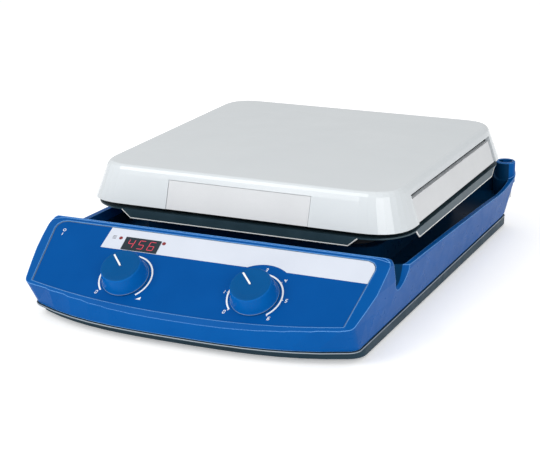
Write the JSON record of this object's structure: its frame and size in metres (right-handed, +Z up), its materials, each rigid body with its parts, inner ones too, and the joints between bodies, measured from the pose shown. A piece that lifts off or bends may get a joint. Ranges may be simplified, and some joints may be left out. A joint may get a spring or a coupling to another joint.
{
  "type": "hotplate magnetic stirrer",
  "caption": "Hotplate magnetic stirrer with a square white ceramic plate on a blue housing, sloping control panel with knobs, display, and a rod socket at the rear corner.",
  "frame": {"origin": "centre of the footprint's bounding box, on the bench under the rubber feet", "axes": "+Z up from the bench, +Y from the control panel towards the rear, +X to the right of a user at the panel"},
  "size_m": [0.3, 0.4157, 0.105],
  "materials": {
    "base_pan": "satin",
    "seal_rubber": "matte",
    "foot_rubber": "matte",
    "screw_steel": "satin",
    "housing_blue": "satin",
    "socket_steel": "satin",
    "foil_blue": "satin",
    "band_white": "satin",
    "window_dark": "gloss",
    "module_dark": "matte",
    "lens_red": "gloss",
    "led_resin": "gloss",
    "knob_blue": "satin",
    "pointer_white": "satin",
    "shaft_brass": "satin",
    "pot_case": "satin",
    "nut_steel": "satin",
    "board_green": "satin",
    "post_steel": "satin",
    "black_plastic": "satin",
    "rocker_black": "satin",
    "pin_metal": "satin",
    "post_brass": "satin",
    "transformer_core": "satin",
    "motor_case": "satin",
    "bracket_steel": "satin",
    "bearing_steel": "satin",
    "shaft_steel": "satin",
    "carrier_aluminium": "satin",
    "magnet_nickel": "satin",
    "plate_ceramic": "gloss",
    "panel_grey": "satin",
    "spreader_aluminium": "satin",
    "element_sheath": "satin",
    "insulation": "matte",
    "shield_sheet": "satin",
    "tower_dark": "matte",
    "tray_steel": "satin",
    "spacer_steel": "satin",
    "sensor_sheath": "satin",
    "cutout_black": "satin"
  },
  "bodies": {
    "stirrer": {"base_pan": "base_pan", "pan_seal": "seal_rubber", "rubber_feet": "foot_rubber", "base_screws": "screw_steel", "housing_shell": "housing_blue", "rod_socket": "socket_steel", "control_foil": "foil_blue", "label_band": "band_white", "display_window": "window_dark", "display_module": "module_dark", "indicator_lenses": "lens_red", "indicator_leds": "led_resin", "temp_pot": "pot_case", "temp_nut": "nut_steel", "speed_pot": "pot_case", "speed_nut": "nut_steel", "control_board": "board_green", "board_posts": "post_steel", "switch_frame": "black_plastic", "mains_inlet": "black_plastic", "inlet_pins": "pin_metal", "power_board": "board_green", "power_board_posts": "post_brass", "transformer": "transformer_core", "motor_body": "motor_case", "motor_bracket": "bracket_steel", "motor_feet": "foot_rubber", "bearing": "bearing_steel", "plate_cover": "plate_ceramic", "window_panels": "panel_grey", "spreader_plate": "spreader_aluminium", "heating_element": "element_sheath", "insulation_mat": "insulation", "heat_shield": "shield_sheet", "tower_ring": "tower_dark", "insulation_tray": "tray_steel", "plate_spacers": "spacer_steel", "spacer_screws": "screw_steel", "plate_sensor": "sensor_sheath", "thermal_cutout": "cutout_black"},
    "temp_control": {"temp_knob": "knob_blue", "temp_pointer": "pointer_white", "temp_shaft": "shaft_brass"},
    "speed_control": {"speed_knob": "knob_blue", "speed_pointer": "pointer_white", "speed_shaft": "shaft_brass"},
    "power_rocker": {"power_rocker": "rocker_black"},
    "stir_rotor": {"motor_shaft": "shaft_steel", "magnet_carrier": "carrier_aluminium", "drive_magnets": "magnet_nickel"},
    "fuse_drawer": {"fuse_drawer": "rocker_black"}
  },
  "joints": [
    {"name": "temp_turn", "type": "hinge", "parent": "stirrer", "child": "temp_control", "pos_m": [-0.056, -0.17964, 0.04258], "axis": [0, -0.531, 0.8474], "range_deg": [-180, 90]},
    {"name": "speed_turn", "type": "hinge", "parent": "stirrer", "child": "speed_control", "pos_m": [0.056, -0.17964, 0.04258], "axis": [0, -0.531, 0.8474], "range_deg": [-180, 90]},
    {"name": "power_tilt", "type": "hinge", "parent": "stirrer", "child": "power_rocker", "pos_m": [-0.1405, -0.15, 0.038], "axis": [0, 1, 0], "range_deg": [-20, 0]},
    {"name": "stir_spin", "type": "hinge", "parent": "stirrer", "child": "stir_rotor", "pos_m": [0, 0.046, 0.05], "axis": [0, 0, 1], "continuous": true},
    {"name": "fuse_slide", "type": "slide", "parent": "stirrer", "child": "fuse_drawer", "axis": [0, 1, 0], "range_m": [0, 0.02]}
  ]
}
